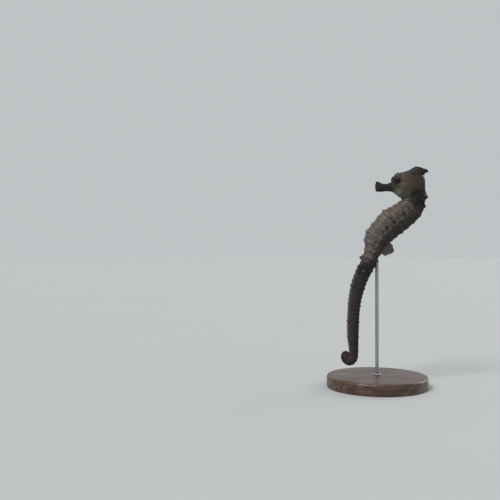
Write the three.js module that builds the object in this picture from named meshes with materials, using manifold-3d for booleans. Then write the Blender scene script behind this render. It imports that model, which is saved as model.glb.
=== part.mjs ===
// A life-size seahorse of the Hippocampus kuda kind, upright with its head bowed and its tail tip
// curled forward, on a plain display stand: a round base and one rod up to the lower trunk.
// Millimetres, +Z up. The animal faces -Y, and +X is its left side. The origin is the centre of the
// base's underside.
//
// The body is one swept form: an axis in the plane X = 0 that runs from the nape down the trunk and
// the tail, and a section across it that goes from the trunk's seven ridges to the tail's four. Each
// bony ring has a low start and a raised middle, with a knob where its middle crosses a ridge.
// The head is a second form along its own level axis. Thin cuts part both into named pieces.

import * as THREE from "three";
import { ParametricGeometry } from "three/addons/geometries/ParametricGeometry.js";
import { mergeVertices } from "three/addons/utils/BufferGeometryUtils.js";
import Module from "manifold-3d";

const wasm = await Module();
wasm.setup();

// ---------- Driving dimensions ----------

const CUT = 0.3; // the gap between neighbouring pieces
const DEG = Math.PI / 180;

// Bony rings, and the lengths of the axis that they share. The tail's rings shorten evenly.
const TRUNK_RINGS = 11;
const TAIL_RINGS = 36;
const NECK_LENGTH = 7.4;
const TRUNK_LENGTH = 41;
const TAIL_LENGTH = 65.9;
const FIRST_TAIL_RING = 2.7;

// Where the axis starts, inside the back of the head
const NAPE = { y: 19.2, z: 105 };

// The axis's heading in degrees forward of straight down, by distance from the nape. It goes past a
// full turn, as the tail tip coils into the curl.
const HEADING = [[0, -8], [7, 13], [12, 32], [18, 44.5], [25, 52], [32, 41.5], [39, 25.5], [45, 21],
  [53, 23], [63, 16], [73, 7], [83, 1], [90, -2], [96, -2], [98.3, -0.5], [100.8, 34], [103.3, 88.5],
  [105.8, 140.5], [107.8, 176.5], [109.3, 211], [110.8, 268.5], [112.3, 350], [114.3, 374]];

// Reach of the section from the axis: towards the belly, towards the back, and to each side
const BELLY_REACH = [[0, 5.2], [7, 5.1], [12, 5.8], [18, 7.2], [24, 8.3], [30, 7.4], [36, 6.9], [39, 6],
  [42, 4.2], [46, 3.6], [52, 4.05], [60, 4.2], [66, 3.85], [72, 3.45], [78, 3.2], [84, 3.2], [90, 3],
  [96.3, 2.35], [101.3, 2.05], [104, 1.75], [106.3, 1.45], [108.3, 1.05], [109.8, 0.8], [111.5, 0.7],
  [113, 0.75], [114.3, 0.45]];
const BACK_REACH = [[0, 5.6], [6, 6.4], [12, 7.7], [18, 7.2], [24, 6.9], [30, 6.8], [36, 5.9], [42, 4.75],
  [48, 4.4], [54, 3.65], [60, 3.2], [66, 3.05], [72, 2.9], [78, 2.95], [84, 2.95], [90, 2.65], [96.3, 2.3],
  [101.3, 1.82], [106.3, 1.15], [109.8, 0.7], [111.5, 0.64], [113, 0.62], [114.3, 0.4]];
const SIDE_REACH = [[0, 3.5], [7, 4.2], [12, 4.9], [20, 5.5], [29, 5.3], [37, 4.6], [44, 4], [52, 3.7],
  [60, 3.4], [72, 3], [84, 2.7], [96.3, 2.2], [101.3, 1.75], [106.3, 1.2], [109.8, 0.8], [114.3, 0.5]];

// One side of the section, from the belly round to the back, as shares of the reach to the side and
// to the belly or back. The trunk's ridges are at its corners 0, 2, 4 and 6, the tail's at 2 and 6.
const TRUNK_SECTION = [[0, 1], [0.34, 0.84], [0.64, 0.6], [0.84, 0.28], [0.96, -0.08], [0.86, -0.46],
  [0.66, -0.8], [0.34, -0.9], [0, -0.93]];
const TAIL_SECTION = [[0, 0.86], [0.45, 0.86], [0.84, 0.84], [0.88, 0.45], [0.88, 0], [0.88, -0.45],
  [0.84, -0.84], [0.45, -0.86], [0, -0.86]];
const TRUNK_RIDGES = [1, 0, 0.8, 0, 0.9, 0, 1, 0, 0];
const TAIL_RIDGES = [0, 0, 1, 0, 0, 0, 1, 0, 0];
const RING_HEIGHT = 0.16; // a ring's raised middle over its start
const KNOB_HEIGHT = 0.42;
const LONG_KNOB = 2; // how many times higher the knobs of the rings below are
const LONG_KNOB_RINGS = [0, 4, 7, 10, 12, 16, 20, 24, 28, 32];

// The head's own axis is level and starts at the mouth. By distance behind it: the reach up, the
// reach down and the half width.
const MOUTH = { y: -0.5, z: 104.4 };
const HEAD = [[-0.4, 1.9, 2.4, 1.3], [1.1, 2.2, 3.05, 1.75], [3.1, 1.25, 3.05, 1.6],
  [5.2, 1.1, 2.8, 1.5], [7.5, 1.85, 2.95, 1.8], [8.8, 3.1, 3.3, 2.3],
  [10.4, 5.6, 4.6, 3.2], [12.5, 6.9, 6.1, 4.1], [15.1, 7.3, 7, 4.9],
  [17.7, 7.7, 7.2, 5], [20.3, 7.3, 7, 4.6], [22.9, 6.3, 6.5, 3.9], [25, 4.6, 5.5, 2.8]];
const SNOUT_LENGTH = 8.3;
const JAW_LENGTH = 2.3;
const HEAD_SECTION = [[0, -1], [0.55, -0.85], [0.88, -0.5], [1, -0.05], [0.92, 0.4], [0.7, 0.75],
  [0.45, 0.92], [0.2, 0.99], [0, 1]];

const EYE = { radius: 1.75, x: 3, behind: 10.5, up: 3.2 };
const ORBIT = { inner: 2.45, outer: 2.1, from: 1.6, to: 4 };
const GILL_COVER = { x: 3.5, behind: 16.1, up: -1.5, radii: [1.9, 4.3, 4] };

// Spines: the brow's over each eye, the cheek's and the nape's
const BROW = { behind: 11, up: 5, left: 2.6, radius: 1.2, height: 1.9 };
const CHEEK = { behind: 13.2, up: -5, left: 1.9, radius: 0.9, height: -1.3 };
const NAPE_SPINE = { at: 5.2, out: 5.2, radius: 1.7, height: 2.4 };

// The coronet, in rows from its foot to its hollow top: distance behind the mouth, height, reach
// along the head, reach across it, how much further its points stand out, and lean in degrees
const CORONET = [[20.8, 5.8, 4.6, 2.9, 0, 3], [21.3, 7.5, 3.7, 2.4, 0.15, 10], [22.4, 8.5, 2.8, 2, 0.6, 18],
  [23.3, 9.35, 2.35, 1.9, 0.31, 18], [23.3, 8.5, 1.3, 1.2, 0, 18]];
const CORONET_POINTS = 5;

const FIN_THICKNESS = 0.6;
const DORSAL_FIN = { from: 33, to: 41.8, height: 4.6, rays: 17 };
const ANAL_FIN = { from: 46.4, to: 48.6, height: 1.5, rays: 4 };
const PECTORAL_FIN = { behind: 21.2, up: -5.4, left: 3.7, radius: 4.6, rays: 13, spread: 110, splay: 36 };

const STAND = { radius: 26, height: 6, chamfer: 1, rod: 0.9, rodTop: 70 };

// ---------- Tools ----------

// A smooth function through [place, value] keys, whose slope at a key is that of its neighbours
function through(keys) {
  const slope = keys.map((_, i) => {
    const before = keys[Math.max(i - 1, 0)];
    const after = keys[Math.min(i + 1, keys.length - 1)];
    return (after[1] - before[1]) / (after[0] - before[0]);
  });
  return (x) => {
    if (x <= keys[0][0]) return keys[0][1];
    if (x >= keys.at(-1)[0]) return keys.at(-1)[1];
    const i = keys.findIndex((key) => key[0] > x) - 1;
    const span = keys[i + 1][0] - keys[i][0];
    const t = (x - keys[i][0]) / span;
    const rise = t * t * (3 - 2 * t);
    return keys[i][1] * (1 - rise) + keys[i + 1][1] * rise
      + span * (slope[i] * t * (1 - t) ** 2 - slope[i + 1] * t * t * (1 - t));
  };
}

const mix = (a, b, t) => a + (b - a) * t;

// 0 below low, 1 above high, and smooth between
function ease(x, low, high) {
  const t = Math.min(Math.max((x - low) / (high - low), 0), 1);
  return t * t * (3 - 2 * t);
}

// A closed loft through rows of points. Each row closes on itself, and both ends on their own middle.
function loft(rows) {
  const columns = rows[0].length;
  const middle = (row) => row.reduce((sum, p) => sum.add(p), new THREE.Vector3()).divideScalar(columns);
  const first = middle(rows[0]);
  const last = middle(rows.at(-1));
  return solid(new ParametricGeometry((u, v, target) => {
    const row = Math.round(v * (rows.length + 1)) - 1;
    if (row < 0) return target.copy(first);
    if (row === rows.length) return target.copy(last);
    return target.copy(rows[row][Math.round(u * columns) % columns]);
  }, columns, rows.length + 1));
}

// A closed geometry as a solid that can be joined and cut
function solid(geometry) {
  const loose = geometry.index ? geometry.toNonIndexed() : geometry;
  const bare = new THREE.BufferGeometry().setAttribute("position", loose.getAttribute("position"));
  const merged = mergeVertices(bare, 1e-4);
  return new wasm.Manifold(new wasm.Mesh({
    numProp: 3,
    vertProperties: merged.attributes.position.array,
    triVerts: new Uint32Array(merged.index.array),
  }));
}

// A sphere scaled along each axis
function egg([x, y, z], [rx, ry, rz]) {
  const geometry = new THREE.SphereGeometry(1, 16, 8);
  return solid(geometry.rotateZ(Math.PI / 2).scale(rx, ry, rz).translate(x, y, z));
}

// A cone from its base's centre to its tip
function spike(base, tip, radius) {
  const from = new THREE.Vector3(...base);
  const along = new THREE.Vector3(...tip).sub(from);
  const geometry = new THREE.ConeGeometry(radius, along.length(), 8);
  geometry.translate(0, along.length() / 2, 0);
  const up = new THREE.Vector3(0, 1, 0);
  const turn = new THREE.Quaternion().setFromUnitVectors(up, along.clone().normalize());
  geometry.applyQuaternion(turn).translate(from.x, from.y, from.z);
  return solid(geometry);
}

// A solid of revolution about Z through [height, radius] pairs that start and end on the axis
function spin(profile, sides = 24) {
  return solid(new THREE.LatheGeometry(profile.map(([h, r]) => new THREE.Vector2(r, h)), sides)
    .rotateX(Math.PI / 2));
}

function box([x0, y0, z0], [x1, y1, z1]) {
  const geometry = new THREE.BoxGeometry(x1 - x0, y1 - y0, z1 - z0);
  return solid(geometry.translate((x0 + x1) / 2, (y0 + y1) / 2, (z0 + z1) / 2));
}

const join = (solids) => solids.reduce((whole, next) => whole.add(next));
const mirrored = (shape) => shape.mirror([1, 0, 0]);

// ---------- The body's axis and rings ----------

const AXIS_LENGTH = NECK_LENGTH + TRUNK_LENGTH + TAIL_LENGTH;
const headingAt = through(HEADING);
const bellyReach = through(BELLY_REACH);
const backReach = through(BACK_REACH);
const sideReach = through(SIDE_REACH);

// The axis's points, a short step apart
const STEP = 0.1;
const AXIS = [new THREE.Vector3(0, NAPE.y, NAPE.z)];
for (let s = STEP / 2; s < AXIS_LENGTH + STEP; s += STEP) {
  const turn = headingAt(s) * DEG;
  AXIS.push(AXIS.at(-1).clone().add(new THREE.Vector3(0, -STEP * Math.sin(turn), -STEP * Math.cos(turn))));
}

// The point ahead of the axis at s by the given distances towards the belly and to the left
function bodyPoint(s, ahead, left) {
  const i = Math.min(Math.floor(s / STEP), AXIS.length - 2);
  const turn = headingAt(s) * DEG;
  const belly = new THREE.Vector3(0, -Math.cos(turn), Math.sin(turn));
  return AXIS[i].clone().lerp(AXIS[i + 1], s / STEP - i).addScaledVector(belly, ahead).setX(left);
}

// Where each ring starts, from the first trunk ring on, with the tail tip's end as the last entry
const EDGES = [NECK_LENGTH];
const grow = (length) => EDGES.push(EDGES.at(-1) + length);
for (let i = 0; i < TRUNK_RINGS; i++) grow(TRUNK_LENGTH / TRUNK_RINGS);
const SHORTER = (2 * (FIRST_TAIL_RING - TAIL_LENGTH / TAIL_RINGS)) / (TAIL_RINGS - 1);
for (let i = 0; i < TAIL_RINGS; i++) grow(FIRST_TAIL_RING - i * SHORTER);
const TRUNK_END = EDGES[TRUNK_RINGS];

// How high ring number i's knobs stand. Those of the tail lessen with its thickness.
function knobHeight(i) {
  const thin = Math.min(sideReach(EDGES[i]) / 3, 1);
  return KNOB_HEIGHT * thin * (LONG_KNOB_RINGS.includes(i) ? LONG_KNOB : 1);
}

// A row of points across the body at s. raised is 0 at a ring's start and 1 at its middle, and grown
// makes the whole section larger, for cutting neighbours.
function section(s, raised, knob, grown) {
  const tail = ease(s, TRUNK_END - 4, TRUNK_END + 5);
  const last = TRUNK_SECTION.length - 1;
  const row = [];
  for (let column = 0; column < 2 * last; column++) {
    const corner = column <= last ? column : 2 * last - column;
    const across = mix(TRUNK_SECTION[corner][0], TAIL_SECTION[corner][0], tail) * sideReach(s);
    const front = mix(TRUNK_SECTION[corner][1], TAIL_SECTION[corner][1], tail);
    const ahead = front * (front > 0 ? bellyReach(s) : backReach(s));
    const ridge = mix(TRUNK_RIDGES[corner], TAIL_RIDGES[corner], tail);
    const stretch = 1 + (grown + raised * (RING_HEIGHT + ridge * knob)) / Math.hypot(across, ahead);
    row.push(bodyPoint(s, ahead * stretch, (column <= last ? -1 : 1) * across * stretch));
  }
  return row;
}

// The rings from one number to another as one piece, with half a cut taken off each end. The first
// piece can start above its first ring, on the neck.
function rings(from, to, { grown = 0, neck = false } = {}) {
  const start = neck ? 0 : EDGES[from] + CUT / 2;
  const rows = [section(start, 0, 0, grown)];
  for (let i = from; i < to; i++) {
    if (i > from || neck) rows.push(section(EDGES[i], 0, 0, grown));
    rows.push(section((EDGES[i] + EDGES[i + 1]) / 2, 1, knobHeight(i), grown));
  }
  rows.push(section(EDGES[to] - CUT / 2, 0, 0, grown));
  return loft(rows);
}

// The neck, from the nape down to the first ring
function neckForm(grown = 0) {
  const rows = [];
  for (let i = 0; i <= 4; i++) rows.push(section((i / 4) * (NECK_LENGTH - CUT / 2), 0, 0, grown));
  return loft(rows);
}

// ---------- The head's forms ----------

const headUp = through(HEAD.map(([d, up]) => [d, up]));
const headDown = through(HEAD.map(([d, , down]) => [d, down]));
const headHalf = through(HEAD.map(([d, , , half]) => [d, half]));

const headPoint = (behind, up, left) => [left, MOUTH.y + behind, MOUTH.z + up];

function headForm(grown = 0) {
  const last = HEAD_SECTION.length - 1;
  const places = HEAD.map(([d]) => d);
  const between = places.slice(1).map((d, i) => (d + places[i]) / 2);
  const rows = [...places, ...between].sort((a, b) => a - b).map((d) => {
    const row = [];
    for (let column = 0; column < 2 * last; column++) {
      const [wide, high] = HEAD_SECTION[column <= last ? column : 2 * last - column];
      const across = wide * (headHalf(d) + grown);
      const up = high * ((high > 0 ? headUp(d) : headDown(d)) + grown);
      row.push(new THREE.Vector3(...headPoint(d, up, (column <= last ? -1 : 1) * across)));
    }
    return row;
  });
  return loft(rows);
}

// A block right across the head between two distances behind the mouth, up to a height
const headSlab = (from, to, up = 20) => box(headPoint(from, -20, -10), headPoint(to, up, 10));

const leftEye = (grown = 0) => {
  const radius = EYE.radius + grown;
  return egg(headPoint(EYE.behind, EYE.up, EYE.x), [radius, radius, radius]);
};

const leftGillCover = (grown = 0) =>
  egg(headPoint(GILL_COVER.behind, GILL_COVER.up, GILL_COVER.x), GILL_COVER.radii.map((r) => r + grown));

// A spine on the head that points up, or down where its height is negative
const headSpine = ({ behind, up, left, radius, height }) =>
  spike(headPoint(behind, up, left), headPoint(behind - 0.4, up + height, left * 1.15), radius);

function coronetForm() {
  const columns = CORONET_POINTS * 4;
  return loft(CORONET.map(([behind, up, long, wide, points, lean]) => {
    const row = [];
    for (let column = 0; column < columns; column++) {
      const turn = (column / columns) * 2 * Math.PI;
      const rear = 1 - Math.cos(turn); // the points at the back stand out further
      const out = 1 + points * (column % 4 === 0 ? 0.3 + rear * 0.75 : 0.3);
      const back = -Math.cos(turn) * long * out;
      row.push(new THREE.Vector3(...headPoint(
        behind + back * Math.cos(lean * DEG),
        up - back * Math.sin(lean * DEG),
        Math.sin(turn) * wide * out,
      )));
    }
    return row;
  }));
}

// ---------- Fins ----------

// A plate in the plane X = 0 with the outline through the points
function plate(points) {
  const shape = new THREE.Shape(points.map(({ y, z }) => new THREE.Vector2(y, z)));
  const geometry = new THREE.ExtrudeGeometry(shape, { depth: FIN_THICKNESS, bevelEnabled: false });
  geometry.translate(0, 0, -FIN_THICKNESS / 2);
  const upright = new THREE.Matrix4().makeBasis(
    new THREE.Vector3(0, 1, 0), new THREE.Vector3(0, 0, 1), new THREE.Vector3(1, 0, 0),
  );
  return solid(geometry.applyMatrix4(upright));
}

// A fin along the middle of the body, on its back (side -1) or its belly (side 1). Its edge runs in
// a notch between each two rays, and its foot lies inside the body.
function medianFin({ from, to, height, rays }, side) {
  const reach = side > 0 ? bellyReach : backReach;
  const edge = [];
  const foot = [];
  for (let i = 0; i <= 2 * rays - 2; i++) {
    const t = i / (2 * rays - 2);
    const s = mix(from, to, t);
    const notch = i % 2 === 1 ? 0.93 : 1;
    const rise = height * notch * ease(t, -0.25, 0.4) * (1 - 0.45 * ease(t, 0.5, 1.1));
    edge.push(bodyPoint(s + 0.18 * rise, side * (reach(s) + rise), 0));
    foot.unshift(bodyPoint(s, side * (reach(s) - 1.5), 0));
  }
  return plate([...edge, ...foot]);
}

// The left pectoral fin: a fan that opens backwards and is splayed out from the body
function leftPectoral() {
  const { behind, up, left, radius, rays, spread, splay } = PECTORAL_FIN;
  const points = [new THREE.Vector3(0, -1.2, -0.9), new THREE.Vector3(0, -1.2, 0.9)];
  for (let i = 2 * rays - 2; i >= 0; i--) {
    const turn = (i / (2 * rays - 2) - 0.5) * spread * DEG;
    const reach = radius * (i % 2 === 1 ? 0.94 : 1);
    points.push(new THREE.Vector3(0, reach * Math.cos(turn), reach * Math.sin(turn)));
  }
  return plate(points).rotate([0, 0, -splay]).translate(headPoint(behind, up, left));
}

// ---------- Materials ----------

const paint = (color, roughness, metalness = 0) =>
  new THREE.MeshStandardMaterial({ color, roughness, metalness });
const TRUNK_HIDE = paint(0x74675a, 0.55);
const TAIL_HIDE = paint(0x4c3f40, 0.55);
const HEAD_HIDE = paint(0x5c5648, 0.55);
const FIN = paint(0x7a7468, 0.4);
const EYEBALL = paint(0x1d2226, 0.1);
const WALNUT = paint(0x4a2f20, 0.45);
const STEEL = paint(0xa9adb0, 0.3, 1);

// ---------- The part ----------

const animal = new THREE.Group();
const stand = new THREE.Group();
const group = new THREE.Group();
group.name = "seahorse_on_stand";
group.add(animal, stand);

function add(name, shape, material, parent = animal) {
  const { numProp, vertProperties, triVerts } = shape.getMesh();
  const corners = new Float32Array((vertProperties.length / numProp) * 3);
  for (let i = 0; i < corners.length / 3; i++) {
    corners.set(vertProperties.subarray(i * numProp, i * numProp + 3), i * 3);
  }
  const geometry = new THREE.BufferGeometry()
    .setAttribute("position", new THREE.BufferAttribute(corners, 3))
    .setIndex(new THREE.BufferAttribute(triVerts, 1));
  geometry.computeVertexNormals();
  const mesh = new THREE.Mesh(geometry, material);
  mesh.name = name;
  parent.add(mesh);
}

function addPair(name, left, material) {
  add(`${name}_left`, left, material);
  add(`${name}_right`, mirrored(left), material);
}

// The head in front of the neck, with its spines, less the pieces that are let into it
const both = (left) => left.add(mirrored(left));
const spined = join([headForm(), both(headSpine(BROW)), both(headSpine(CHEEK))]);
const orbit = spin([[ORBIT.from, 0], [ORBIT.from, ORBIT.inner], [ORBIT.to, ORBIT.outer], [ORBIT.to, 0]])
  .rotate([0, 90, 0]).translate(headPoint(EYE.behind, EYE.up, 0));
const skull = spined.add(both(orbit));
const letIn = join([headSlab(-5, SNOUT_LENGTH + CUT), both(leftEye(CUT)), both(leftGillCover(CUT))]);
add("head", skull.subtract(letIn), HEAD_HIDE);
addPair("eye", leftEye(), EYEBALL);
addPair("gill_cover", leftGillCover(), HEAD_HIDE);

const snout = headForm().intersect(headSlab(-5, SNOUT_LENGTH));
add("snout", snout.subtract(headSlab(-5, JAW_LENGTH + CUT, -0.4 + CUT / 2)), HEAD_HIDE);
add("jaw", snout.intersect(headSlab(-5, JAW_LENGTH, -0.4 - CUT / 2)), HEAD_HIDE);
add("coronet", coronetForm().subtract(headForm(CUT)), HEAD_HIDE);

// The neck with the nape's spine, and the body's lengths. The uppermost end a cut away from the head.
const headCut = headForm(CUT).add(both(leftGillCover(CUT)));
const napeSpine = spike(
  bodyPoint(NAPE_SPINE.at + 0.6, -NAPE_SPINE.out, 0).toArray(),
  bodyPoint(NAPE_SPINE.at, -NAPE_SPINE.out - NAPE_SPINE.height, 0).toArray(),
  NAPE_SPINE.radius,
);
add("neck", neckForm().add(napeSpine).subtract(headCut), HEAD_HIDE);
add("trunk_1", rings(0, 4).subtract(headCut), TRUNK_HIDE);

const LENGTHS = { trunk_2: [4, 8], trunk_3: [8, 11], tail_1: [11, 17], tail_2: [17, 23], tail_3: [23, 29],
  tail_4: [29, 35], tail_5: [35, 41], tail_tip: [41, 47] };
for (const [name, [from, to]] of Object.entries(LENGTHS)) {
  add(name, rings(from, to), name.startsWith("tail") ? TAIL_HIDE : TRUNK_HIDE);
}

// The fins and the rod end a cut away from the body
const body = rings(0, 17, { grown: CUT, neck: true });
add("dorsal_fin", medianFin(DORSAL_FIN, -1).subtract(body), FIN);
add("anal_fin", medianFin(ANAL_FIN, 1).subtract(body), FIN);
addPair("pectoral_fin", leftPectoral().subtract(body).subtract(headCut), FIN);

const rim = STAND.radius - STAND.chamfer;
const disc = spin([[0, 0], [0, STAND.radius], [STAND.height - STAND.chamfer, STAND.radius],
  [STAND.height, rim], [STAND.height, 0]], 72);
const foot = STAND.height + CUT;
const rod = spin([[foot, 0], [foot, STAND.rod], [STAND.rodTop, STAND.rod], [STAND.rodTop, 0]], 20);
add("stand_base", disc, WALNUT, stand);
add("stand_rod", rod.subtract(body), STEEL, stand);

export default group;
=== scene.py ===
"""A life-size seahorse of the Hippocampus kuda kind on a plain display stand, dressed for looks.

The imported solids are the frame. One skin replaces every solid of flesh: the body, swept along its
own axis with its bony rings, ridges and knobs, and the head with its snout, orbits, gill covers,
spines and coronet, all grown together. The eyes, the fins and the stand are pieces of their own.
Shapes are worked out in millimetres, in the solids' frame: +Z is up, the animal faces -Y, and +X
is its left side.
"""

import math

import bpy
import numpy as np
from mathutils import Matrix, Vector, kdtree, noise


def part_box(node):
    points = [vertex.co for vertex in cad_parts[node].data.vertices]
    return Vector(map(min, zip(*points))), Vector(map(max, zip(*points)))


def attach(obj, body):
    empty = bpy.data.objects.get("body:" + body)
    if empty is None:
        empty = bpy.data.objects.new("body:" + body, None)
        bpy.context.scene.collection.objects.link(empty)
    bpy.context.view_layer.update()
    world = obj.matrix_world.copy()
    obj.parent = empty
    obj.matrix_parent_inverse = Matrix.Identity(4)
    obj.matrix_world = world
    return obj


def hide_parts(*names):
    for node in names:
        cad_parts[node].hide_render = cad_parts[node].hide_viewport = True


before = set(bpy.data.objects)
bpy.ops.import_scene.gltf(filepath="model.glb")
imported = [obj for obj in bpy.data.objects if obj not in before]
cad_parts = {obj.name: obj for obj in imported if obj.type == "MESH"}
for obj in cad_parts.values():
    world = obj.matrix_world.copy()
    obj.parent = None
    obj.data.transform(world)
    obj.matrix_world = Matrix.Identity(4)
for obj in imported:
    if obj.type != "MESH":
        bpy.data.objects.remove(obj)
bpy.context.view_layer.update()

MM = 0.001  # one millimetre in metres
VOXEL = 0.14  # the skin's grain, in mm

# ---------- Driving dimensions, the same as the solids' ----------

TRUNK_RINGS = 11
TAIL_RINGS = 36
NECK_LENGTH = 7.4
TRUNK_LENGTH = 41
TAIL_LENGTH = 65.9
FIRST_TAIL_RING = 2.7
AXIS_LENGTH = NECK_LENGTH + TRUNK_LENGTH + TAIL_LENGTH
NAPE = (19.2, 105)

# The axis's heading in degrees forward of straight down, by distance from the nape
HEADING = [(0, -8), (7, 13), (12, 32), (18, 44.5), (25, 52), (32, 41.5), (39, 25.5), (45, 21),
           (53, 23), (63, 16), (73, 7), (83, 1), (90, -2), (96, -2), (98.3, -0.5), (100.8, 34),
           (103.3, 88.5), (105.8, 140.5), (107.8, 176.5), (109.3, 211), (110.8, 268.5),
           (112.3, 350), (114.3, 374)]

# Reach of the section from the axis: towards the belly, towards the back, and to each side
BELLY_REACH = [(0, 5.2), (7, 5.1), (12, 5.8), (18, 7.2), (24, 8.3), (30, 7.4), (36, 6.9), (39, 6),
               (42, 4.2), (46, 3.6), (52, 4.05), (60, 4.2), (66, 3.85), (72, 3.45), (78, 3.2), (84, 3.2),
               (90, 3), (96.3, 2.35), (101.3, 2.05), (104, 1.75), (106.3, 1.45), (108.3, 1.05),
               (109.8, 0.8), (111.5, 0.7), (113, 0.75), (114.3, 0.45)]
BACK_REACH = [(0, 5.6), (6, 6.4), (12, 7.7), (18, 7.2), (24, 6.9), (30, 6.8), (36, 5.9), (42, 4.75),
              (48, 4.4), (54, 3.65), (60, 3.2), (66, 3.05), (72, 2.9), (78, 2.95), (84, 2.95), (90, 2.65),
              (96.3, 2.3), (101.3, 1.82), (106.3, 1.15), (109.8, 0.7), (111.5, 0.64), (113, 0.62),
              (114.3, 0.4)]
SIDE_REACH = [(0, 3.5), (7, 4.2), (12, 4.9), (20, 5.5), (29, 5.3), (37, 4.6), (44, 4), (52, 3.7),
              (60, 3.4), (72, 3), (84, 2.7), (96.3, 2.2), (101.3, 1.75), (106.3, 1.2), (109.8, 0.8),
              (114.3, 0.5)]

# One side of the section from the belly round to the back, as shares of the side reach and of the
# belly's or back's. The trunk's ridges are at its corners 0, 2, 4 and 6, the tail's at 2 and 6.
TRUNK_SECTION = [(0, 1), (0.34, 0.84), (0.64, 0.6), (0.84, 0.28), (0.96, -0.08), (0.86, -0.46),
                 (0.66, -0.8), (0.34, -0.9), (0, -0.93)]
TAIL_SECTION = [(0, 0.86), (0.45, 0.86), (0.84, 0.84), (0.88, 0.45), (0.88, 0), (0.88, -0.45),
                (0.84, -0.84), (0.45, -0.86), (0, -0.86)]
CORNERS = 16  # corners all the way round a section
TRUNK_RIDGES = [1, 0, 0.8, 0, 0.9, 0, 1, 0, 0]
TAIL_RIDGES = [0, 0, 1, 0, 0, 0, 1, 0, 0]
RING_HEIGHT = 0.16  # a ring's raised middle over its start
KNOB_HEIGHT = 0.42
LONG_KNOB = 2  # how many times higher the knobs of the rings below are
LONG_KNOB_RINGS = [0, 4, 7, 10, 12, 16, 20, 24, 28, 32]
TAIL_BLEND = (-4, 5)  # where the trunk's section turns into the tail's, from the trunk's end

# The head by distance behind the mouth: the reach up, the reach down and the half width
MOUTH = (-0.5, 104.4)
HEAD = [(-0.4, 1.9, 2.4, 1.3), (1.1, 2.2, 3.05, 1.75), (3.1, 1.25, 3.05, 1.6),
        (5.2, 1.1, 2.8, 1.5), (7.5, 1.85, 2.95, 1.8), (8.8, 3.1, 3.3, 2.3),
        (10.4, 5.6, 4.6, 3.2), (12.5, 6.9, 6.1, 4.1), (15.1, 7.3, 7, 4.9),
        (17.7, 7.7, 7.2, 5), (20.3, 7.3, 7, 4.6), (22.9, 6.3, 6.5, 3.9), (25, 4.6, 5.5, 2.8)]
HEAD_SECTION = [(0, -1), (0.55, -0.85), (0.88, -0.5), (1, -0.05), (0.92, 0.4), (0.7, 0.75),
                (0.45, 0.92), (0.2, 0.99), (0, 1)]
EYE = {"radius": 1.75, "left": 3, "behind": 10.5, "up": 3.2}
GILL_COVER = {"left": 3.5, "behind": 16.1, "up": -1.5, "radii": (1.9, 4.3, 4)}
BROW = {"behind": 11, "up": 5, "left": 2.6, "radius": 1.2, "height": 1.9}
CHEEK = {"behind": 13.2, "up": -5, "left": 1.9, "radius": 0.9, "height": -1.3}
NAPE_SPINE = {"at": 5.2, "out": 5.2, "radius": 1.7, "height": 2.4}

# The coronet's rows from its foot to its hollow top: distance behind the mouth, height, reach along
# the head, reach across it, how much further its points stand out, and lean in degrees
CORONET = [(20.8, 5.8, 4.6, 2.9, 0, 3), (21.3, 7.5, 3.7, 2.4, 0.15, 10), (22.4, 8.5, 2.8, 2, 0.6, 18),
           (23.3, 9.35, 2.35, 1.9, 0.31, 18), (23.3, 8.5, 1.3, 1.2, 0, 18)]
CORONET_POINTS = 5

DORSAL_FIN = {"from": 33, "to": 41.8, "height": 4.6, "rays": 17}
ANAL_FIN = {"from": 46.4, "to": 48.6, "height": 1.5, "rays": 4}
PECTORAL_FIN = {"behind": 21.2, "up": -5.4, "left": 3.7, "radius": 4.6, "rays": 13,
                "spread": 110, "splay": 36}
STAND = {"radius": 26, "height": 6, "chamfer": 1}

# The skin's own relief, in mm, which the solids don't have
RIDGE_HEIGHT = 0.1  # a lengthwise ridge over the plain section
STRIPE_HEIGHT = 0.04  # the fine folds across the trunk
HOLLOW_DEPTH = (0.14, 0.04)  # between the rings, on the trunk and on the tail
FULL_HALF_WIDTH = 4.5  # where the body is slimmer than this, its relief shrinks with it
CURL_FULLNESS = 1.4  # how much fuller than the reaches the tail's curled end is
CURL_BELLY = 1.45  # and how much more so on its belly, the inside of the curl
TIP_ROUNDING = 0.4  # how far the tail's tip rounds over


# ---------- Numbers ----------

def through(keys):
    """A smooth function through (place, value) keys, whose slope at a key is its neighbours'."""
    x, y = np.array(keys, float).T
    before = np.maximum(np.arange(len(x)) - 1, 0)
    after = np.minimum(np.arange(len(x)) + 1, len(x) - 1)
    slope = (y[after] - y[before]) / (x[after] - x[before])

    def value(at):
        at = np.clip(np.asarray(at, float), x[0], x[-1])
        i = np.clip(np.searchsorted(x, at, side="right") - 1, 0, len(x) - 2)
        span = x[i + 1] - x[i]
        t = (at - x[i]) / span
        rise = t * t * (3 - 2 * t)
        bend = slope[i] * t * (1 - t) ** 2 - slope[i + 1] * t * t * (1 - t)
        return y[i] * (1 - rise) + y[i + 1] * rise + span * bend
    return value


def mix(a, b, t):
    return a + (b - a) * t


def ease(x, low, high):
    """0 below low, 1 above high, and smooth between."""
    t = np.clip((x - low) / (high - low), 0, 1)
    return t * t * (3 - 2 * t)


def bump(distance, width):
    """1 at no distance, falling smoothly to nearly 0 at twice the width."""
    return np.exp(-(distance / width) ** 2)


def ring_curve(side, mirror):
    """A smooth closed function of the corner number through one side's values and their mirror's."""
    ring = np.array(list(side) + [mirror * v for v in side[-2:0:-1]])

    def value(corner):
        i = np.floor(corner).astype(int)
        t = corner - i
        a, b, c, d = (ring[(i + k) % len(ring)] for k in (-1, 0, 1, 2))
        return b + 0.5 * t * (c - a + t * (2 * a - 5 * b + 4 * c - d + t * (3 * (b - c) + d - a)))
    return value


def section_curves(section):
    """The functions across and ahead of a section given by one side's corners."""
    wide, high = zip(*section)
    return ring_curve(wide, -1), ring_curve(high, 1)


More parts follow.
